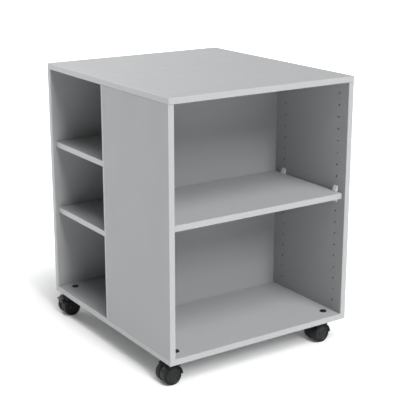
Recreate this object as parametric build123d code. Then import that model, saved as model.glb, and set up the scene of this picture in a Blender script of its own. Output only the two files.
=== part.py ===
from build123d import *
import os

os.makedirs("parts", exist_ok=True)

# A mobile printer stand: a board cabinet on four twin-wheel swivel casters.
# Millimetres, +Z up. The origin is on the floor under the middle of the cabinet.
# The front faces -Y, the short side panel and the open side of the rear bay are at -X.

# Cabinet, overall
body_width = 564.0
body_depth = 632.0
body_height = 670.0  # underside of the bottom panel to the top face
board = 16.0
edging = 2.0  # thickness of the edge strips
edge_round = 1.4  # radius on the strips' outer corners

# Where the inner boards stand, measured from the cabinet's front, left or underside
side_lip = 8.0  # solid lipping of the left side panel, past the divider's back face
divider_setback = 301.0  # to the divider's front face
front_shelf_height = 341.0  # to the shelf's underside
rear_shelf_heights = {"lower": 242.0, "upper": 434.0}  # to each underside
front_shelf_recess = 11.0
rear_shelf_recess = 10.0
front_shelf_end_gap = 2.5
front_shelf_back_gap = 1.0
rear_shelf_gap = 0.5

# Rows of shelf-pin holes in the two side panels of the front bay
pin_hole_radius = 2.5
pin_hole_depth = 10.0
pin_hole_pitch = 32.0
pin_row_setback = 37.0  # from the front edge, and at least this far from the divider
pin_row_end_gap = 30.0  # least distance from a row's last hole to the board it runs up to
pin_hole_below_shelf = 7.0  # shelf's underside to the hole that carries it

# Locking supports of the front shelf
support_width = 14.0
support_plate = 2.2
support_ledge = 11.0
support_claw = 8.0
support_end = 6.0  # how far the plate runs past each pin
support_pin_length = 8.0
fit_gap = 0.04  # radial play of a pin that is pushed into a board

# Pins of the rear shelves
rear_pin_inset = 50.0
rear_pin_collar_radius = 4.5
rear_pin_collar = 1.6
rear_pin_reach = 9.0

# Dowels above and screws below
dowel_radius = 4.0
dowel_length = 30.0
dowel_in_top = 11.0
screw_head_radius = 5.0
screw_head_height = 3.0
screw_shank_radius = 3.5
screw_thread_radius = 2.5
screw_length = 50.0
fixing_inset = 60.0  # from a board's end to its first dowel or screw

# Casters
caster_inset = 42.0  # swivel axis to the cabinet's sides
caster_offset = 22.0  # swivel axis to axle
wheel_radius = 25.0
caster_width = 48.0  # over both wheels
web_width = 12.0
web_recess = 2.5  # the web's round part lies this far inside the treads
wheel_side_gap = 0.75
tread_thickness = 3.5
tread_round = 3.2
rim_thickness = 3.2
hub_radius = 7.5
wheel_disc = 3.4
disc_recess = 1.2
disc_groove = 1.4  # ring groove between a wheel's disc and its tread
disc_groove_depth = 1.6
axle_radius = 3.0
axle_in_wheel = 12.5
running_gap = 0.05  # radial play of everything that turns
hood_gap = 1.5  # tread to hood
hood_wall = 2.6
hood_side_step = 0.6  # the wheels stand proud of the hood by this much
hood_start = 0.0  # degrees above the level of the axle, on the stem's side
hood_end = 122.0
hood_clearance = 7.9  # top of the hood to the cabinet's underside
boss_radius = 13.0
boss_height = 19.5
boss_chamfer = 4.0
stem_radius = 4.0
stem_depth = 23.0
stem_collar_radius = 8.5
stem_collar = 2.7
stem_top_radius = 5.0
stem_top_length = 15.5
collar_gap = 0.3
socket_flange_radius = 11.0
socket_flange = 1.5
socket_wall = 2.5
socket_end_gap = 1.5
cap_radius = 9.5
cap_height = 2.2
cap_round = 1.2
cap_plug_gap = 0.1

# Brake pedals, on two casters
brake_pin_radius = 1.5
brake_pivot_rise = 1.9  # from the hood's outer face
brake_pivot_angle = 122.0
knuckle_radius = 3.2
knuckle_width = 6.0
pedal_half_width = 13.5
pedal_side_gap = 0.5
pedal_reach = 7.0  # past the tread
pedal_drop = 1.3  # from the pivot down to the pedal's tip
pedal_plate = 2.4

# Derived places
left, right = -body_width / 2, body_width / 2
front, back = -body_depth / 2, body_depth / 2
hood_inner = wheel_radius + hood_gap
hood_outer = hood_inner + hood_wall
underside = wheel_radius + hood_outer + hood_clearance
floor_level = underside + board
top_face = underside + body_height
ceiling = top_face - board
inner_left, inner_right = left + board, right - board
divider_front = front + divider_setback
divider_back = divider_front + board
back_front = back - board
left_side_back = divider_back + side_lip
front_shelf_low = underside + front_shelf_height
support_pin_level = front_shelf_low - pin_hole_below_shelf
pin_holes_above = int((ceiling - pin_row_end_gap - support_pin_level) // pin_hole_pitch)
pin_holes_below = int((support_pin_level - pin_row_end_gap - floor_level) // pin_hole_pitch)
pin_rows_apart = pin_hole_pitch * ((divider_setback - 2 * pin_row_setback) // pin_hole_pitch)
pin_row_places = (front + pin_row_setback, front + pin_row_setback + pin_rows_apart)
wheel_width = (caster_width - web_width) / 2 - wheel_side_gap
rim_radius = wheel_radius - tread_thickness
axle_half_length = web_width / 2 + wheel_side_gap + axle_in_wheel
brake_pivot_radius = hood_outer + brake_pivot_rise
socket_low = underside - socket_flange
collar_low = socket_low - stem_collar
boss_top = collar_low - collar_gap
socket_radius = stem_top_radius + socket_wall
casters = {
    "front_left": (left + caster_inset, front + caster_inset, False),
    "front_right": (right - caster_inset, front + caster_inset, True),
    "rear_left": (left + caster_inset, back - caster_inset, True),
    "rear_right": (right - caster_inset, back - caster_inset, False),
}
on_base = (Align.CENTER, Align.CENTER, Align.MIN)


def block(low, high):
    """A box between two corners."""
    size = [b - a for a, b in zip(low, high)]
    return Pos(*low) * Box(*size, align=(Align.MIN, Align.MIN, Align.MIN))


def rod(start, direction, radius, length):
    """A round bar or hole from start along a direction."""
    return Plane(origin=start, z_dir=direction) * Cylinder(radius, length, align=on_base)


def strip(low, high, outward, round_ends=False):
    """An edge strip. Its long outer corners are rounded, and its ends too where they show."""
    bar = block(low, high)
    face = [f for f in bar.faces() if f.normal_at().dot(Vector(*outward)) > 0.99][0]
    edges = face.edges().sort_by(SortBy.LENGTH)
    return fillet(edges if round_ends else edges[-2:], edge_round)


def edged_sheet(low_z):
    """A full-size horizontal board inside its four edge strips: the board and its strips."""
    high_z = low_z + board
    core = block((left + edging, front + edging, low_z), (right - edging, back - edging, high_z))
    strips = [
        strip((left, front, low_z), (right, front + edging, high_z), (0, -1, 0), True),
        strip((left, back - edging, low_z), (right, back, high_z), (0, 1, 0), True),
        strip((left, front + edging, low_z), (left + edging, back - edging, high_z), (-1, 0, 0)),
        strip((right - edging, front + edging, low_z), (right, back - edging, high_z), (1, 0, 0)),
    ]
    return core, strips


def evenly(start, end, count):
    """Places spread evenly from start to end."""
    return [start + (end - start) * i / (count - 1) for i in range(count)]


def fixing_points():
    """Plan positions of the dowels above and the screws below, board by board."""
    near, far = front + fixing_inset, back - fixing_inset
    half = board / 2
    rows = {
        "left": [(left + half, y) for y in evenly(near, left_side_back - fixing_inset, 3)],
        "right": [(right - half, y) for y in evenly(near, far, 5)],
    }
    span = evenly(inner_left + fixing_inset, inner_right - fixing_inset, 3)
    rows["divider"] = [(x, divider_front + half) for x in span]
    rows["back"] = [(x, back - half) for x in span]
    return rows


def dowel(x, y):
    """A beech dowel between the top panel and the upright under it."""
    low = ceiling + dowel_in_top - dowel_length
    bar = rod((x, y, low), (0, 0, 1), dowel_radius, dowel_length)
    return chamfer(bar.edges().filter_by(GeomType.CIRCLE), 1.0)


def dowel_holes(points):
    """Holes for dowels, through the joint between the top panel and an upright."""
    low = ceiling + dowel_in_top - dowel_length - 1
    depth = dowel_length + 1.5
    return [rod((x, y, low), (0, 0, 1), dowel_radius + fit_gap, depth) for x, y in points]


def screw_shape(play):
    """A panel screw with a countersunk head, head down, at the cabinet's underside."""
    head = Cone(screw_head_radius + play, screw_shank_radius + play, screw_head_height, align=on_base)
    shank = Cylinder(screw_shank_radius + play, board, align=on_base)
    thread = Cylinder(screw_thread_radius + play, screw_length + 10 * play, align=on_base)
    return head + shank + thread


def screw(x, y):
    """A panel screw in place, with its socket for the key."""
    socket = extrude(RegularPolygon(2.0, 6), 2.4)
    return Pos(x, y, underside) * (screw_shape(0) - socket)


def screw_holes(points):
    """Clearance for panel screws."""
    return [Pos(x, y, underside) * screw_shape(fit_gap) for x, y in points]


def pin_rows(x, direction):
    """The two rows of shelf-pin holes in one side panel's inner face."""
    holes = []
    for y in pin_row_places:
        for step in range(-pin_holes_below, pin_holes_above + 1):
            level = support_pin_level + step * pin_hole_pitch
            holes.append(rod((x, y, level), direction, pin_hole_radius, pin_hole_depth))
    return holes


def top_panel():
    core, strips = edged_sheet(ceiling)
    points = [p for row in fixing_points().values() for p in row]
    return core - dowel_holes(points), strips


def bottom_panel():
    core, strips = edged_sheet(underside)
    points = [p for row in fixing_points().values() for p in row]
    sockets = [
        rod((x, y, underside), (0, 0, 1), socket_radius + fit_gap, board) for x, y, _ in casters.values()
    ]
    return core - screw_holes(points) - sockets, strips


def left_side_panel():
    low = (left, front + edging, floor_level)
    high = (inner_left, divider_back, ceiling)
    points = fixing_points()["left"]
    core = block(low, high) - dowel_holes(points) - screw_holes(points)
    core -= pin_rows(inner_left, (-1, 0, 0))
    strips = [
        strip((left, front, floor_level), (inner_left, front + edging, ceiling), (0, -1, 0)),
        strip((left, divider_back, floor_level), (inner_left, left_side_back, ceiling), (0, 1, 0)),
    ]
    return core, strips


def right_side_panel():
    low = (inner_right, front + edging, floor_level)
    high = (right, back - edging, ceiling)
    points = fixing_points()["right"]
    core = block(low, high) - dowel_holes(points) - screw_holes(points)
    core -= pin_rows(inner_right, (1, 0, 0))
    strips = [
        strip((inner_right, front, floor_level), (right, front + edging, ceiling), (0, -1, 0)),
        strip((inner_right, back - edging, floor_level), (right, back, ceiling), (0, 1, 0)),
    ]
    return core, strips


def rear_pin_places():
    """Plan position and direction of each rear shelf pin, pointing out of its board."""
    spots = []
    for x in (left + rear_shelf_recess + rear_pin_inset, inner_right - rear_pin_inset):
        spots.append((x, divider_back, 1))
        spots.append((x, back_front, -1))
    return spots


def rear_pin_levels():
    """Each rear pin's axis lies one pin radius under the shelf it carries."""
    return [underside + h - pin_hole_radius for h in rear_shelf_heights.values()]


def rear_pin_holes(face_y):
    """Blind holes for the rear shelf pins in one board's face."""
    spots = [(x, y, out) for x, y, out in rear_pin_places() if y == face_y]
    return [
        rod((x, y, level), (0, -out, 0), pin_hole_radius, pin_hole_depth)
        for x, y, out in spots
        for level in rear_pin_levels()
    ]


def rear_pin(x, y, out, level):
    """A steel pin with a collar. Its reach is flattened on top, where the shelf lies on it."""
    into = rod((x, y, level), (0, -out, 0), pin_hole_radius - fit_gap, support_pin_length)
    collar = rod((x, y, level), (0, out, 0), rear_pin_collar_radius, rear_pin_collar)
    reach = rod((x, y, level), (0, out, 0), pin_hole_radius, rear_pin_reach)
    shelf = level + pin_hole_radius
    trim = block((x - 20, y - 20, shelf - 0.02), (x + 20, y + 20, shelf + 20))
    return into + (collar + reach - trim)


def divider_panel():
    low = (inner_left, divider_front, floor_level)
    high = (inner_right, divider_back, ceiling)
    points = fixing_points()["divider"]
    core = block(low, high) - dowel_holes(points) - screw_holes(points)
    return core - rear_pin_holes(divider_back)


def back_panel():
    low = (left + edging, back_front, floor_level)
    high = (inner_right, back, ceiling)
    points = fixing_points()["back"]
    core = block(low, high) - dowel_holes(points) - screw_holes(points)
    core -= rear_pin_holes(back_front)
    strips = [strip((left, back_front, floor_level), (left + edging, back, ceiling), (-1, 0, 0))]
    return core, strips


def front_shelf():
    x0, x1 = inner_left + front_shelf_end_gap, inner_right - front_shelf_end_gap
    y0, y1 = front + front_shelf_recess, divider_front - front_shelf_back_gap
    z0, z1 = front_shelf_low, front_shelf_low + board
    core = block((x0, y0 + edging, z0), (x1, y1, z1))
    return core, [strip((x0, y0, z0), (x1, y0 + edging, z1), (0, -1, 0))]


def rear_shelf(height):
    """A rear shelf, notched round the side panel's rear edge: the shelf and its edge strip."""
    x0, x1 = left + rear_shelf_recess, inner_right - rear_shelf_gap
    y0, y1 = divider_back + rear_shelf_gap, back_front - rear_shelf_gap
    z0, z1 = underside + height, underside + height + board
    corner = left_side_back + rear_shelf_gap
    notch = block((x0, y0, z0), (inner_left + rear_shelf_gap, corner, z1))
    core = block((x0 + edging, y0, z0), (x1, y1, z1)) - notch
    return core, strip((x0, corner, z0), (x0 + edging, y1, z1), (-1, 0, 0))


def shelf_support(face_x, inward, y):
    """A clear locking support: a plate on two pins, a ledge under the shelf and a claw over it."""
    rise = pin_hole_below_shelf + board
    claw_low = rise + 0.2
    tip = pin_hole_pitch + support_end
    outline = [
        (0, -support_end),
        (support_plate, -support_end),
        (support_ledge, pin_hole_below_shelf - 2.4),
        (support_ledge, pin_hole_below_shelf),
        (support_plate, pin_hole_below_shelf),
        (support_plate, claw_low),
        (support_claw, claw_low),
        (support_claw, claw_low + 2.6),
        (support_plate, tip),
        (0, tip),
    ]
    points = [(inward * x, z) for x, z in outline]
    body = extrude(Plane.XZ * make_face(Polyline(*points, close=True)), support_width / 2, both=True)
    for level in (0, pin_hole_pitch):
        body += rod((0, 0, level), (-inward, 0, 0), pin_hole_radius - fit_gap, support_pin_length)
    return Pos(face_x, y, support_pin_level) * body


def shelf_supports():
    sides = ((inner_left, 1), (inner_right, -1))
    return [shelf_support(x, inward, y) for x, inward in sides for y in pin_row_places]


# Casters, each drawn with its swivel axis on Z and its wheels trailing to -X


def across(profile, width):
    """A flat shape about the axle, drawn in X and Z, given a width along the axle."""
    solid = extrude(Plane.XZ * profile, width / 2, both=True)
    return Pos(-caster_offset, 0, wheel_radius) * solid


def polar(radius, angle):
    """A point about the axle, at an angle above the stem's side."""
    return Vector(radius, 0).rotate(Axis.Z, angle)


def sector(inner, outer, start, end):
    """A ring sector about the axle."""
    near = CenterArc((0, 0), inner, start, end - start)
    far = CenterArc((0, 0), outer, start, end - start)
    return make_face([near, far, Line(near @ 0, far @ 0), Line(near @ 1, far @ 1)])


def hood(braked):
    """The housing between and over the wheels, with the boss that turns on the stem."""
    band = across(sector(hood_inner, hood_outer, hood_start, hood_end), caster_width - 2 * hood_side_step)
    web = sector(1.0, hood_inner + hood_wall / 2, hood_start, hood_end) + Circle(wheel_radius - web_recess)
    web = across(web, web_width)
    boss = Pos(0, 0, boss_top - boss_height) * Cylinder(boss_radius, boss_height, align=on_base)
    boss = chamfer(boss.edges().filter_by(GeomType.CIRCLE).sort_by(Axis.Z)[0], boss_chamfer)
    boss -= across(Circle(hood_inner), caster_width)
    body = band + web + boss
    if braked:
        body += hood_knuckles()
        notch = sector(hood_inner - 1, brake_pivot_radius + 6, hood_end - 12, hood_end + 6)
        body -= across(notch, 2 * (pedal_half_width + pedal_side_gap))
        body += across(sector(1.0, hood_inner - 0.5, hood_start, hood_end), web_width)
        body -= across(brake_pivot() * Circle(brake_pin_radius + 0.01), caster_width)
    body -= across(Circle(axle_radius + 0.01), caster_width)
    bore_depth = stem_depth + 1
    body -= rod((0, 0, boss_top - bore_depth), (0, 0, 1), stem_radius + running_gap, bore_depth)
    return body


def brake_pivot():
    spot = polar(brake_pivot_radius, brake_pivot_angle)
    return Pos(spot.X, spot.Y)


def hood_knuckles():
    """Two ears that hold the pedal's pin."""
    outer = pedal_half_width + pedal_side_gap + knuckle_width
    inner = pedal_half_width + pedal_side_gap
    root = polar(hood_outer - 0.6, hood_end - 9)
    ear = brake_pivot() * Circle(knuckle_radius) + Pos(root.X, root.Y) * Circle(knuckle_radius - 0.6)
    return across(ear, 2 * outer) - across(ear, 2 * inner)


def pedal():
    """The brake pedal: a plate to step on, and under it a shoe that comes down on the treads."""
    pivot = polar(brake_pivot_radius, brake_pivot_angle)
    tip = Vector(-wheel_radius - pedal_reach, pivot.Y - pedal_drop)
    lip = Vector(0, 0.4 * pedal_plate)
    over_tread = [polar(wheel_radius + gap, angle) for gap, angle in ((3.0, 125), (3.5, 138), (4.6, 151))]
    shoe = ThreePointArc(*over_tread)
    heel = shoe @ 1 + Vector(-pedal_plate, 0)
    neck = Vector(heel.X, tip.Y - 2 * lip.Y)
    edge = Polyline(shoe @ 1, heel, neck, tip - lip, tip + lip)
    top = Line(edge @ 1, pivot + Vector(0, knuckle_radius))
    close = Line(top @ 1, shoe @ 0)
    side = make_face([shoe, edge, top, close]) + Pos(pivot.X, pivot.Y) * Circle(knuckle_radius)
    solid = across(side, 2 * pedal_half_width)
    return solid - across(brake_pivot() * Circle(brake_pin_radius + running_gap), caster_width)


def brake_pin():
    length = 2 * (pedal_half_width + pedal_side_gap + knuckle_width)
    return across(brake_pivot() * Circle(brake_pin_radius), length)


def axle():
    bar = across(Circle(axle_radius), 2 * axle_half_length)
    return chamfer(bar.edges().filter_by(GeomType.CIRCLE), 0.5)


def place_wheel(shape, side):
    """A wheel part turned on Z, inner face at zero, stood on its side of the web."""
    seat = side * (web_width / 2 + wheel_side_gap)
    return Pos(-caster_offset, seat, wheel_radius) * Rot(-90 * side, 0, 0) * shape


def wheel_core():
    """A wheel's plastic core: closed hub, dished disc and grooved rim, open towards the web."""
    inner_rim = rim_radius - rim_thickness
    outline = [
        (axle_radius + running_gap, 0),
        (hub_radius, 0),
        (hub_radius, wheel_width - disc_recess - wheel_disc),
        (inner_rim, wheel_width - disc_recess - wheel_disc),
        (inner_rim, 0),
        (rim_radius, 0),
        (rim_radius, wheel_width - disc_groove_depth),
        (rim_radius - disc_groove, wheel_width - disc_groove_depth),
        (rim_radius - disc_groove, wheel_width),
        (inner_rim, wheel_width),
        (inner_rim - disc_recess, wheel_width - disc_recess),
        (hub_radius + disc_recess, wheel_width - disc_recess),
        (hub_radius, wheel_width),
        (0, wheel_width),
        (0, axle_in_wheel + 0.5),
        (axle_radius + running_gap, axle_in_wheel + 0.5),
    ]
    profile = make_face(Polyline(*[(r, 0, z) for r, z in outline], close=True))
    return revolve(profile, Axis.Z)


def wheel_tread():
    """The tread ring round a wheel's rim, with rounded shoulders."""
    ring = Cylinder(wheel_radius, wheel_width, align=on_base)
    ring = fillet(ring.edges().filter_by(GeomType.CIRCLE), tread_round)
    return ring - Cylinder(rim_radius, wheel_width, align=on_base)


def stem():
    """The steel stem: a pin in the hood, a collar, and a pin in the socket."""
    low = rod((0, 0, boss_top - stem_depth), (0, 0, 1), stem_radius, stem_depth + collar_gap)
    collar = rod((0, 0, collar_low), (0, 0, 1), stem_collar_radius, stem_collar)
    top = rod((0, 0, socket_low), (0, 0, 1), stem_top_radius, stem_top_length)
    body = low + collar + top
    ends = body.edges().filter_by(GeomType.CIRCLE).sort_by(Axis.Z)
    return chamfer([ends[0], ends[-1]], 0.8)


def socket():
    """A steel sleeve through the bottom panel, with a flange against its underside."""
    barrel = board - socket_end_gap
    body = rod((0, 0, socket_low), (0, 0, 1), socket_flange_radius, socket_flange)
    body += rod((0, 0, underside), (0, 0, 1), socket_radius, barrel)
    return body - rod((0, 0, socket_low), (0, 0, 1), stem_top_radius + 0.01, barrel + socket_flange)


def cap():
    """A black cap over the socket, on the floor of the bay."""
    dome = Pos(0, 0, floor_level) * Cylinder(cap_radius, cap_height, align=on_base)
    dome = fillet(dome.edges().filter_by(GeomType.CIRCLE).sort_by(Axis.Z)[-1], cap_round)
    plug_height = socket_end_gap - cap_plug_gap
    plug = Pos(0, 0, floor_level - plug_height) * Cylinder(socket_radius - 0.3, plug_height, align=on_base)
    return dome + plug


def group(solids):
    """Several separate solids in one node."""
    return Compound([s for shape in solids for s in shape.solids()])


def cabinet_nodes():
    nodes = {}
    edged = {
        "top_panel": top_panel(),
        "bottom_panel": bottom_panel(),
        "left_side_panel": left_side_panel(),
        "right_side_panel": right_side_panel(),
        "back_panel": back_panel(),
        "front_shelf": front_shelf(),
    }
    for name, (core, strips) in edged.items():
        nodes[name] = core
        nodes[name + "_edging"] = group(strips)
    nodes["divider_panel"] = divider_panel()
    rear_strips = []
    for name, height in rear_shelf_heights.items():
        core, edge = rear_shelf(height)
        nodes["rear_" + name + "_shelf"] = core
        rear_strips.append(edge)
    nodes["rear_shelf_edging"] = group(rear_strips)
    nodes["front_shelf_supports"] = group(shelf_supports())
    nodes["rear_shelf_pins"] = group(
        [rear_pin(x, y, out, level) for x, y, out in rear_pin_places() for level in rear_pin_levels()]
    )
    points = [p for row in fixing_points().values() for p in row]
    nodes["carcass_dowels"] = group([dowel(x, y) for x, y in points])
    nodes["carcass_screws"] = group([screw(x, y) for x, y in points])
    places = [Pos(x, y, 0) for x, y, _ in casters.values()]
    nodes["caster_sockets"] = group([place * socket() for place in places])
    nodes["caster_socket_caps"] = group([place * cap() for place in places])
    return nodes


def caster_nodes(name, braked):
    """One caster's pieces by name, about its own swivel axis."""
    nodes = {
        name + "_stem": stem(),
        name + "_hood": hood(braked),
        name + "_axle": axle(),
    }
    for letter, side in (("a", -1), ("b", 1)):
        nodes[name + "_wheel_" + letter + "_core"] = place_wheel(wheel_core(), side)
        nodes[name + "_wheel_" + letter + "_tread"] = place_wheel(wheel_tread(), side)
    if braked:
        nodes[name + "_brake_pedal"] = pedal()
        nodes[name + "_brake_pin"] = brake_pin()
    return nodes


nodes = cabinet_nodes()
for caster, (x, y, braked) in casters.items():
    for name, shape in caster_nodes(caster, braked).items():
        nodes[name] = Pos(x, y, 0) * shape

for name, shape in nodes.items():
    export_step(shape, f"parts/{name}.step")
    print(name, len(shape.solids()), round(shape.volume))
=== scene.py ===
import bmesh
import bpy
import math
from mathutils import Matrix, Vector


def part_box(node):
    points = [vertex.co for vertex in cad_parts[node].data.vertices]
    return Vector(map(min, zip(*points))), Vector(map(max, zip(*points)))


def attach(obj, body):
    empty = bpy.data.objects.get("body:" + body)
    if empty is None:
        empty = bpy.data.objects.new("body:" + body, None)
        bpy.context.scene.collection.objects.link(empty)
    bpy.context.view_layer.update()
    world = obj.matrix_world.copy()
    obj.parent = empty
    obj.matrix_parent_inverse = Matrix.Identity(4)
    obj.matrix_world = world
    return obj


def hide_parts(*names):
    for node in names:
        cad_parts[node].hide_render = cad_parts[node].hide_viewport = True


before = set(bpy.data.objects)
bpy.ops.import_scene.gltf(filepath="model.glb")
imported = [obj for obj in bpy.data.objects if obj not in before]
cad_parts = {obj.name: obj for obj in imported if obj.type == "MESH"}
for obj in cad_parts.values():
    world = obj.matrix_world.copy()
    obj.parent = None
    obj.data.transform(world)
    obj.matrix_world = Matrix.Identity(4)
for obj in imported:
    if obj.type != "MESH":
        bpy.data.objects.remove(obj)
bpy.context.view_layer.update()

MM = 0.001

# Boards and their edges
BOARD = 16 * MM
FACING = 0.3 * MM  # thickness of the melamine on each side of a board
EDGING = 2 * MM
EDGE_ROUND = 1.4 * MM
LIPPING = 8 * MM  # on the left side panel's back edge

# Casters
TREAD = 3.5 * MM  # the tread ring's thickness
TREAD_ROUND = 3.2 * MM
RIM = 3.2 * MM  # the core's rim under the tread
CORE_ROUND = 0.3 * MM
HUB = 7.5 * MM  # the hub's radius
DISC = 3.4 * MM  # thickness of the disc between hub and rim
DISH = 1.2 * MM  # how far the disc lies below the rim
GROOVE = 1.4 * MM  # between the disc and the tread
GROOVE_DEPTH = 1.6 * MM
BORE = 3.05 * MM  # radius of the hole for the axle
BORE_DEPTH = 13 * MM
CASTERS = ("front_left", "front_right", "rear_left", "rear_right")
BRAKED = ("front_right", "rear_left")

# Hard edges and smooth surfaces, by the angle between two faces, in degrees
HARD_EDGE = 34
STRIP_SMOOTH = 30
MOULDED_SMOOTH = 38

# Camera, in metres and degrees
CAMERA_PLACE = (-1.5347, -2.3331, 1.1794)
CAMERA_HEADING = -33.599
CAMERA_FALL = 16.19
CAMERA_LENS = 94.75  # millimetres, on a 36 mm wide film
FILM_WIDTH = 36.0


# ---- Materials ----


class Finish:
    """A material in the making: a principled shader and the nodes that feed it."""

    def __init__(self, name, **sockets):
        self.material = bpy.data.materials.new(name)
        self.material.use_nodes = True
        self.tree = self.material.node_tree
        self.shader = self.tree.nodes["Principled BSDF"]
        self.place = self.node("ShaderNodeTexCoord").outputs["Object"]
        for socket, value in sockets.items():
            self.shader.inputs[socket.replace("_", " ")].default_value = value

    def node(self, kind, links=(), **settings):
        made = self.tree.nodes.new(kind)
        for name, value in settings.items():
            setattr(made, name, value)
        for socket, value in dict(links).items():
            self.feed(made.inputs[socket], value)
        return made

    def feed(self, socket, value):
        if isinstance(value, bpy.types.NodeSocket):
            self.tree.links.new(value, socket)
        else:
            socket.default_value = value

    def drive(self, socket, value):
        self.feed(self.shader.inputs[socket], value)

    def stretched(self, scale):
        """The place on the piece, scaled by a different amount along each axis."""
        return self.node("ShaderNodeMapping", {"Vector": self.place, "Scale": scale}).outputs["Vector"]

    def noise(self, scale, detail, rough, place=None):
        links = {"Vector": place or self.place, "Scale": scale, "Detail": detail, "Roughness": rough}
        return self.node("ShaderNodeTexNoise", links).outputs["Fac"]

    def cells(self, scale, output, place=None):
        links = {"Vector": place or self.place, "Scale": scale}
        return self.node("ShaderNodeTexVoronoi", links).outputs[output]

    def maths(self, operation, first, second=0.0):
        return self.node("ShaderNodeMath", {0: first, 1: second}, operation=operation).outputs[0]

    def spread(self, value, low, high, new_low=0.0, new_high=1.0):
        """A value's stretch from low to high, taken to a new stretch and held at its ends."""
        links = {"Value": value, "From Min": low, "From Max": high, "To Min": new_low, "To Max": new_high}
        return self.node("ShaderNodeMapRange", links).outputs["Result"]

    def blend(self, share, first, second):
        """Two colours mixed by a share."""
        made = self.node("ShaderNodeMix", data_type="RGBA")
        self.feed(made.inputs["Factor"], share)
        self.feed(made.inputs[6], colour(first))
        self.feed(made.inputs[7], colour(second))
        return made.outputs[2]

    def bump(self, height, depth, strength, under=None):
        """Surface relief of a depth in metres, over the relief under it."""
        links = {"Height": height, "Distance": depth, "Strength": strength}
        if under:
            links["Normal"] = under
        return self.node("ShaderNodeBump", links).outputs["Normal"]

    def axis(self, letter):
        """One coordinate of the place on the piece."""
        return self.node("ShaderNodeSeparateXYZ", {0: self.place}).outputs[letter]


def colour(value):
    """A grey or a colour as the shader takes it."""
    if isinstance(value, bpy.types.NodeSocket):
        return value
    if isinstance(value, (int, float)):
        return (value, value, value, 1.0)
    return (*value, 1.0)


MELAMINE_LIGHT = (0.386, 0.394, 0.400)
MELAMINE_DARK = (0.366, 0.374, 0.381)
EDGE_LIGHT = (0.420, 0.428, 0.432)
EDGE_DARK = (0.398, 0.406, 0.410)


def pearl_facing(finish):
    """Light grey melamine: a very fine pearl in colour and relief, with faint handling marks."""
    grain = finish.noise(1400, 2, 0.6)
    cloud = finish.noise(9, 3, 0.55)
    speck = finish.spread(finish.noise(2600, 1, 0.5), 0.60, 0.72)
    tone = finish.blend(finish.spread(grain, 0.35, 0.65), MELAMINE_DARK, MELAMINE_LIGHT)
    tone = finish.blend(finish.spread(cloud, 0.35, 0.75, 0.0, 0.10), tone, 0.42)
    tone = finish.blend(finish.maths("MULTIPLY", speck, 0.12), tone, 0.30)
    wiped = finish.noise(26, 4, 0.6, finish.stretched((1.0, 1.0, 0.35)))
    rough = finish.spread(wiped, 0.3, 0.7, 0.50, 0.60)
    relief = finish.bump(grain, 0.03 * MM, 0.5)
    return tone, rough, relief


def board_finish(name, axis, middle):
    """A faced chipboard panel: melamine on its two broad faces and pressed chips between them."""
    finish = Finish(name, Specular_IOR_Level=0.28)
    tone, rough, relief = pearl_facing(finish)
    off_middle = finish.maths("ABSOLUTE", finish.maths("SUBTRACT", finish.axis(axis), middle))
    core = finish.maths("LESS_THAN", off_middle, BOARD / 2 - FACING)
    chip = finish.cells(620, "Color", finish.stretched((1.0, 1.0, 1.8)))
    shade = finish.node("ShaderNodeSeparateColor", {0: chip}).outputs[0]
    chips = finish.blend(shade, (0.16, 0.10, 0.055), (0.50, 0.37, 0.23))
    finish.drive("Base Color", finish.blend(core, tone, chips))
    finish.drive("Roughness", finish.maths("MAXIMUM", rough, finish.maths("MULTIPLY", core, 0.85)))
    finish.drive("Normal", relief)
    return finish.material


def edge_strip_finish():
    """Light grey ABS: satin, with fine lengthwise scraping marks and a little scuffing."""
    finish = Finish("edge_strip_abs", Specular_IOR_Level=0.5)
    grain = finish.noise(900, 2, 0.6)
    scrape = finish.noise(300, 2, 0.5, finish.stretched((0.06, 0.06, 1.0)))
    tone = finish.blend(finish.spread(grain, 0.35, 0.65), EDGE_DARK, EDGE_LIGHT)
    scuff = finish.spread(finish.noise(60, 5, 0.7), 0.66, 0.80, 0.0, 0.22)
    finish.drive("Base Color", finish.blend(scuff, tone, 0.34))
    finish.drive("Roughness", finish.spread(scrape, 0.3, 0.7, 0.30, 0.42))
    finish.drive("Normal", finish.bump(grain, 0.02 * MM, 0.4, finish.bump(scrape, 0.02 * MM, 0.4)))
    return finish.material


def moulded_black(name, base, rough, relief):
    """Black moulded nylon with a fine spark texture, a little dust and rubbed patches."""
    finish = Finish(name, Specular_IOR_Level=0.34)
    spark = finish.noise(2400, 3, 0.6)
    cloud = finish.noise(70, 4, 0.6)
    dust = finish.spread(finish.noise(220, 4, 0.7), 0.56, 0.80, 0.0, 0.30)
    tone = finish.blend(finish.spread(cloud, 0.3, 0.7), base, tuple(c * 1.35 for c in base))
    finish.drive("Base Color", finish.blend(dust, tone, 0.018))
    finish.drive("Roughness", finish.spread(cloud, 0.3, 0.7, rough - 0.06, rough + 0.08))
    finish.drive("Normal", finish.bump(spark, relief, 0.5))
    return finish.material


def tread_finish():
    """Black soft tread: clean on its sides, with floor dust picked up where it rolls."""
    finish = Finish("soft_tread", Specular_IOR_Level=0.3)
    spark = finish.noise(1600, 3, 0.6)
    dust = finish.spread(finish.noise(160, 5, 0.7), 0.45, 0.75, 0.1, 0.5)
    facing = finish.node("ShaderNodeTexCoord").outputs["Normal"]
    sideways = finish.node("ShaderNodeSeparateXYZ", {0: facing}).outputs["Y"]
    rolling = finish.spread(finish.maths("ABSOLUTE", sideways), 0.15, 0.6, 1.0, 0.0)
    dust = finish.maths("MULTIPLY", dust, rolling)
    finish.drive("Base Color", finish.blend(dust, (0.007, 0.007, 0.008), (0.045, 0.044, 0.042)))
    finish.drive("Roughness", finish.spread(spark, 0.3, 0.7, 0.58, 0.74))
    finish.drive("Normal", finish.bump(spark, 0.06 * MM, 0.6))
    return finish.material


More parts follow.
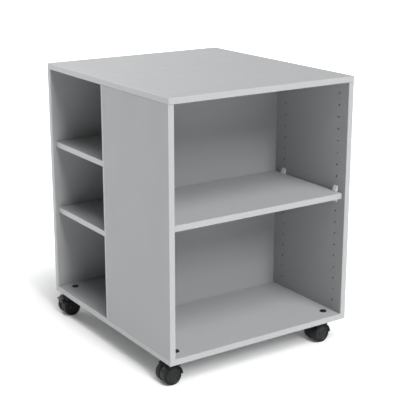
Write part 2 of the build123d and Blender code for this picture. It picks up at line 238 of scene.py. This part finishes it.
def zinc_finish():
    """Zinc-plated steel with a faint spangle and turning marks."""
    finish = Finish("zinc_plated_steel", Metallic=1.0)
    spangle = finish.node("ShaderNodeSeparateColor", {0: finish.cells(420, "Color")}).outputs[0]
    wear = finish.noise(180, 4, 0.6)
    finish.drive("Base Color", finish.blend(spangle, (0.50, 0.51, 0.52), (0.66, 0.67, 0.68)))
    finish.drive("Roughness", finish.spread(wear, 0.3, 0.7, 0.26, 0.44))
    finish.drive("Normal", finish.bump(wear, 0.02 * MM, 0.4))
    return finish.material


def beech_finish():
    """Bare beech with its short flecks."""
    finish = Finish("bare_beech", Roughness=0.6)
    fibre = finish.noise(500, 4, 0.6, finish.stretched((1.0, 1.0, 0.08)))
    fleck = finish.spread(finish.cells(900, "Distance", finish.stretched((1.0, 1.0, 0.3))), 0.05, 0.25)
    wood = finish.blend(fibre, (0.36, 0.20, 0.10), (0.60, 0.40, 0.23))
    finish.drive("Base Color", finish.blend(fleck, (0.30, 0.16, 0.08), wood))
    finish.drive("Normal", finish.bump(fibre, 0.05 * MM, 0.5))
    return finish.material


def milky_finish():
    """Milky clear moulding, brighter where it is thin."""
    finish = Finish("milky_moulding", Transmission_Weight=0.18, IOR=1.49)
    haze = finish.noise(300, 3, 0.6)
    finish.drive("Base Color", finish.blend(haze, (0.80, 0.82, 0.83), (0.90, 0.91, 0.92)))
    finish.drive("Roughness", finish.spread(haze, 0.3, 0.7, 0.22, 0.36))
    finish.drive("Normal", finish.bump(haze, 0.006 * MM, 0.25))
    return finish.material


# ---- Making pieces ----


def finished(name, mesh_in_the_making, material, body, replaced, smooth):
    """A bmesh made into a piece that stands in for a frame part and rides on its body."""
    mesh = bpy.data.meshes.new(name)
    bmesh.ops.recalc_face_normals(mesh_in_the_making, faces=mesh_in_the_making.faces)
    mesh_in_the_making.to_mesh(mesh)
    mesh_in_the_making.free()
    mesh.materials.append(material)
    mesh.shade_smooth()
    mesh.set_sharp_from_angle(angle=math.radians(smooth))
    piece = bpy.data.objects.new(name, mesh)
    bpy.context.scene.collection.objects.link(piece)
    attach(piece, body)
    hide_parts(replaced)
    piece.modifiers.new("even_shading", "WEIGHTED_NORMAL").keep_sharp = True


def bar(work, low, high):
    """Adds a box between two corners and returns its faces."""
    size = [b - a for a, b in zip(low, high)]
    middle = [(a + b) / 2 for a, b in zip(low, high)]
    matrix = Matrix.Translation(middle) @ Matrix.Diagonal((*size, 1.0))
    made = bmesh.ops.create_cube(work, size=1.0, matrix=matrix)
    return {face for vert in made["verts"] for face in vert.link_faces}


def edge_strip(work, low, high, outward, round_ends=False):
    """Adds one edge strip with its outer corners rounded."""
    faces = bar(work, low, high)
    outward = Vector(outward)
    outer = max(faces, key=lambda face: face.calc_center_median().dot(outward))
    edges = sorted(outer.edges, key=lambda edge: edge.calc_length())
    chosen = edges if round_ends else edges[2:]
    bmesh.ops.bevel(
        work, geom=chosen, offset=EDGE_ROUND, segments=4, profile=0.5, affect="EDGES", material=-1
    )


def rim_of_sheet(work, low, high):
    """Adds the four strips round a full-size board."""
    (x0, y0, z0), (x1, y1, z1) = low, high
    edge_strip(work, (x0, y0, z0), (x1, y0 + EDGING, z1), (0, -1, 0), True)
    edge_strip(work, (x0, y1 - EDGING, z0), (x1, y1, z1), (0, 1, 0), True)
    edge_strip(work, (x0, y0 + EDGING, z0), (x0 + EDGING, y1 - EDGING, z1), (-1, 0, 0))
    edge_strip(work, (x1 - EDGING, y0 + EDGING, z0), (x1, y1 - EDGING, z1), (1, 0, 0))


def front_and_back(back_thickness):
    """A maker of a strip on an upright board's front edge and a strip or lipping on its back edge."""

    def maker(work, low, high):
        (x0, y0, z0), (x1, y1, z1) = low, high
        edge_strip(work, (x0, y0, z0), (x1, y0 + EDGING, z1), (0, -1, 0))
        edge_strip(work, (x0, y1 - back_thickness, z0), (x1, y1, z1), (0, 1, 0))

    return maker


def single_strip(outward):
    """A maker of one strip that fills its node's whole box."""
    return lambda work, low, high: edge_strip(work, low, high, outward)


def rear_shelf_strips(work, low, high):
    """Adds the strip of each rear shelf, one at the foot of the node's box and one at its top."""
    edge_strip(work, low, (high[0], high[1], low[2] + BOARD), (-1, 0, 0))
    edge_strip(work, (low[0], low[1], high[2] - BOARD), high, (-1, 0, 0))


def edge_strips(material):
    """All the edge strips, node by node."""
    makers = {
        "top_panel_edging": rim_of_sheet,
        "bottom_panel_edging": rim_of_sheet,
        "left_side_panel_edging": front_and_back(LIPPING),
        "right_side_panel_edging": front_and_back(EDGING),
        "back_panel_edging": single_strip((-1, 0, 0)),
        "front_shelf_edging": single_strip((0, -1, 0)),
        "rear_shelf_edging": rear_shelf_strips,
    }
    for node, maker in makers.items():
        work = bmesh.new()
        maker(work, *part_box(node))
        finished(node + "_strips", work, material, "cabinet", node, STRIP_SMOOTH)


def hard_edges(work):
    """The edges of a closed shape where its faces meet at a clear angle."""
    least = math.radians(HARD_EDGE)
    return [edge for edge in work.edges if edge.is_manifold and edge.calc_face_angle(0.0) > least]


def softened(node, width, material, body):
    """A copy of a frame part with its hard edges rounded over."""
    work = bmesh.new()
    work.from_mesh(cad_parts[node].data)
    bmesh.ops.remove_doubles(work, verts=work.verts, dist=0.002 * MM)
    flat = math.radians(0.4)
    bmesh.ops.dissolve_limit(work, angle_limit=flat, verts=work.verts, edges=work.edges)
    bmesh.ops.bevel(
        work,
        geom=hard_edges(work),
        offset=width,
        segments=3,
        profile=0.5,
        affect="EDGES",
        material=-1,
        clamp_overlap=True,
        miter_outer="ARC",
    )
    bmesh.ops.remove_doubles(work, verts=work.verts, dist=0.001 * MM)
    finished(node + "_softened", work, material, body, node, MOULDED_SMOOTH)


def turned(outline, centre, side):
    """Spins an outline of (radius, distance from the hood) points round a wheel's axle.

    An outline that starts on the axle ends there, and any other one closes on itself.
    """
    work = bmesh.new()
    x, y, z = centre
    points = [work.verts.new((x + radius, y + side * out, z)) for radius, out in outline]
    on_axle = outline[0][0] == 0.0
    nexts = points[1:] if on_axle else points[1:] + points[:1]
    lines = [work.edges.new(pair) for pair in zip(points, nexts)]
    bmesh.ops.spin(
        work, geom=points + lines, cent=centre, axis=(0, 1, 0), angle=math.tau, steps=96, use_merge=True
    )
    bmesh.ops.remove_doubles(work, verts=work.verts, dist=0.001 * MM)
    bmesh.ops.recalc_face_normals(work, faces=work.faces)
    return work


def round_over(work, edges, width, segments):
    """Rounds some edges of a turned piece."""
    bmesh.ops.bevel(
        work, geom=edges, offset=width, segments=segments, profile=0.5, affect="EDGES", material=-1
    )


def wheel(name, side, moulding, soft):
    """One wheel of a caster, on the side of the hood that faces -Y (-1) or +Y (1)."""
    low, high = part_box(name + "_tread")
    width, radius = high.y - low.y, (high.z - low.z) / 2
    centre = (low + high) / 2
    centre.y -= side * width / 2
    tread_ring(name, centre, side, width, radius, soft)
    wheel_core(name, centre, side, width, radius - TREAD, moulding)


def tread_ring(name, centre, side, width, radius, material):
    """The soft tread, with round shoulders."""
    bore = radius - TREAD
    ring = turned([(bore, 0.0), (radius, 0.0), (radius, width), (bore, width)], centre, side)
    middle = radius - TREAD / 2
    shoulders = [edge for edge in hard_edges(ring) if (edge.verts[0].co - centre).xz.length > middle]
    round_over(ring, shoulders, TREAD_ROUND, 8)
    node = name + "_tread"
    finished(node + "_turned", ring, material, name, node, MOULDED_SMOOTH)


def wheel_core(name, centre, side, width, rim, material):
    """The moulded core: hub, dished disc, and a ring groove next to the tread."""
    inner_rim = rim - RIM
    groove_floor = width - GROOVE_DEPTH
    dish = width - DISH
    outline = [
        (0.0, BORE_DEPTH),
        (BORE, BORE_DEPTH),
        (BORE, 0.0),
        (HUB, 0.0),
        (HUB, dish - DISC),
        (inner_rim, dish - DISC),
        (inner_rim, 0.0),
        (rim, 0.0),
        (rim, groove_floor),
        (rim - GROOVE, groove_floor),
        (rim - GROOVE, width),
        (inner_rim, width),
        (inner_rim - DISH, dish),
        (HUB + DISH, dish),
        (HUB, width),
        (0.0, width),
    ]
    core = turned(outline, centre, side)
    round_over(core, hard_edges(core), CORE_ROUND, 3)
    node = name + "_core"
    finished(node + "_turned", core, material, name, node, MOULDED_SMOOTH)


# ---- Putting finishes on the frame's own parts ----


def dress_boards():
    """Each board gets its facing on its two broad faces."""
    for node, axis in {
        "top_panel": "Z",
        "bottom_panel": "Z",
        "left_side_panel": "X",
        "right_side_panel": "X",
        "divider_panel": "Y",
        "back_panel": "Y",
        "front_shelf": "Z",
        "rear_lower_shelf": "Z",
        "rear_upper_shelf": "Z",
    }.items():
        low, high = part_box(node)
        index = "XYZ".index(axis)
        dress(node, board_finish(node + "_facing", axis, (low[index] + high[index]) / 2))


def dress(node, material):
    """Puts one material on a frame part."""
    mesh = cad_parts[node].data
    mesh.materials.clear()
    mesh.materials.append(material)


# ---- Room, light and camera ----


def studio():
    """A plain white floor with painted glow: its emission rises towards the back of the stand to wash out
    the shadow cast there, and in a pool on its left to lighten the shade beside it.
    """
    work = bmesh.new()
    bmesh.ops.create_grid(work, x_segments=1, y_segments=1, size=30.0)
    mesh = bpy.data.meshes.new("studio_floor")
    work.to_mesh(mesh)
    work.free()
    finish = Finish("white_floor_with_painted_glow", Roughness=0.9, Specular_IOR_Level=0.1)
    finish.drive("Emission Color", colour(1.0))
    # Painted glow: emission rising towards the back of the stand, where it washes out the stand's cast
    # shadow on the floor.
    painted_glow_back = finish.spread(finish.axis("Y"), 0.38, 0.85, 0.0, 0.55)
    # Painted glow: a pool of emission just left of the stand, which lightens the shade on the floor
    # there.
    painted_glow_left = finish.spread(finish.axis("X"), -0.48, -0.22, 0.16, 0.0)
    painted_glow_left = finish.maths("MULTIPLY", painted_glow_left, finish.spread(finish.axis("X"), -1.4, -0.8))
    glow = finish.maths("MAXIMUM", painted_glow_back, painted_glow_left)
    # A faint even glow over the whole floor, with the painted glow added on top.
    finish.drive("Emission Strength", finish.maths("ADD", glow, 0.03))
    finish.drive("Base Color", finish.blend(finish.noise(3, 2, 0.5), 0.93, 0.95))
    mesh.materials.append(finish.material)
    floor = bpy.data.objects.new("studio_floor", mesh)
    bpy.context.scene.collection.objects.link(floor)


def distant_light(name, heading, height, softness, strength):
    """Even light from far off. Heading 0 comes from the front and 90 from the right; all in degrees."""
    light = bpy.data.lights.new(name, "SUN")
    light.energy = strength * math.pi
    light.angle = math.radians(softness)
    lamp = bpy.data.objects.new(name, light)
    turn, rise = math.radians(heading), math.radians(height)
    towards = Vector((math.sin(turn) * math.cos(rise), -math.cos(turn) * math.cos(rise), math.sin(rise)))
    lamp.rotation_euler = towards.to_track_quat("Z", "Y").to_euler()
    bpy.context.scene.collection.objects.link(lamp)


def glowing_horizon(strength):
    """The room round the floor: pale at the horizon and dark overhead."""
    world = bpy.data.worlds.new("soft_room")
    bpy.context.scene.world = world
    world.use_nodes = True
    tree = world.node_tree
    where = tree.nodes.new("ShaderNodeTexCoord").outputs["Generated"]
    split = tree.nodes.new("ShaderNodeSeparateXYZ")
    fade = tree.nodes.new("ShaderNodeMapRange")
    tree.links.new(where, split.inputs[0])
    tree.links.new(split.outputs["Z"], fade.inputs["Value"])
    for socket, value in {"From Min": 0.12, "From Max": 0.45, "To Min": strength, "To Max": 0.0}.items():
        fade.inputs[socket].default_value = value
    background = tree.nodes["Background"]
    background.inputs["Color"].default_value = (1.0, 1.0, 1.0, 1.0)
    tree.links.new(fade.outputs["Result"], background.inputs["Strength"])


def lights():
    glowing_horizon(0.35)
    distant_light("front_key", 0, 35, 16, 0.40)
    distant_light("high_front", 0, 55, 34, 0.75)
    distant_light("overhead", 0, 88, 70, 0.18)
    distant_light("low_back", 180, 25, 60, 0.55)


def camera():
    """Stands off the front left corner, a little above the top."""
    data = bpy.data.cameras.new("camera")
    data.sensor_width = FILM_WIDTH
    data.lens = CAMERA_LENS
    seat = bpy.data.objects.new("camera", data)
    seat.location = CAMERA_PLACE
    seat.rotation_euler = (math.radians(90 - CAMERA_FALL), 0.0, math.radians(CAMERA_HEADING))
    bpy.context.scene.collection.objects.link(seat)
    bpy.context.scene.camera = seat


def main():
    camera()
    studio()
    lights()
    bpy.context.scene.view_settings.view_transform = "Standard"

    edge = edge_strip_finish()
    nylon = moulded_black("black_nylon", (0.004, 0.004, 0.005), 0.40, 0.05 * MM)
    wheel_nylon = moulded_black("wheel_nylon", (0.007, 0.008, 0.009), 0.46, 0.05 * MM)
    tread = tread_finish()
    zinc = zinc_finish()
    beech = beech_finish()
    milky = milky_finish()

    dress_boards()
    edge_strips(edge)
    softened("front_shelf_supports", 0.5 * MM, milky, "cabinet")
    softened("caster_socket_caps", 0.3 * MM, nylon, "cabinet")
    dress("rear_shelf_pins", zinc)
    dress("carcass_dowels", beech)
    dress("carcass_screws", zinc)
    dress("caster_sockets", zinc)
    for caster in CASTERS:
        dress(caster + "_stem", zinc)
        dress(caster + "_axle", zinc)
        softened(caster + "_hood", 0.6 * MM, nylon, caster + "_caster")
        wheel(caster + "_wheel_a", -1, wheel_nylon, tread)
        wheel(caster + "_wheel_b", 1, wheel_nylon, tread)
        if caster in BRAKED:
            softened(caster + "_brake_pedal", 0.5 * MM, nylon, caster + "_brake")
            dress(caster + "_brake_pin", zinc)


main()
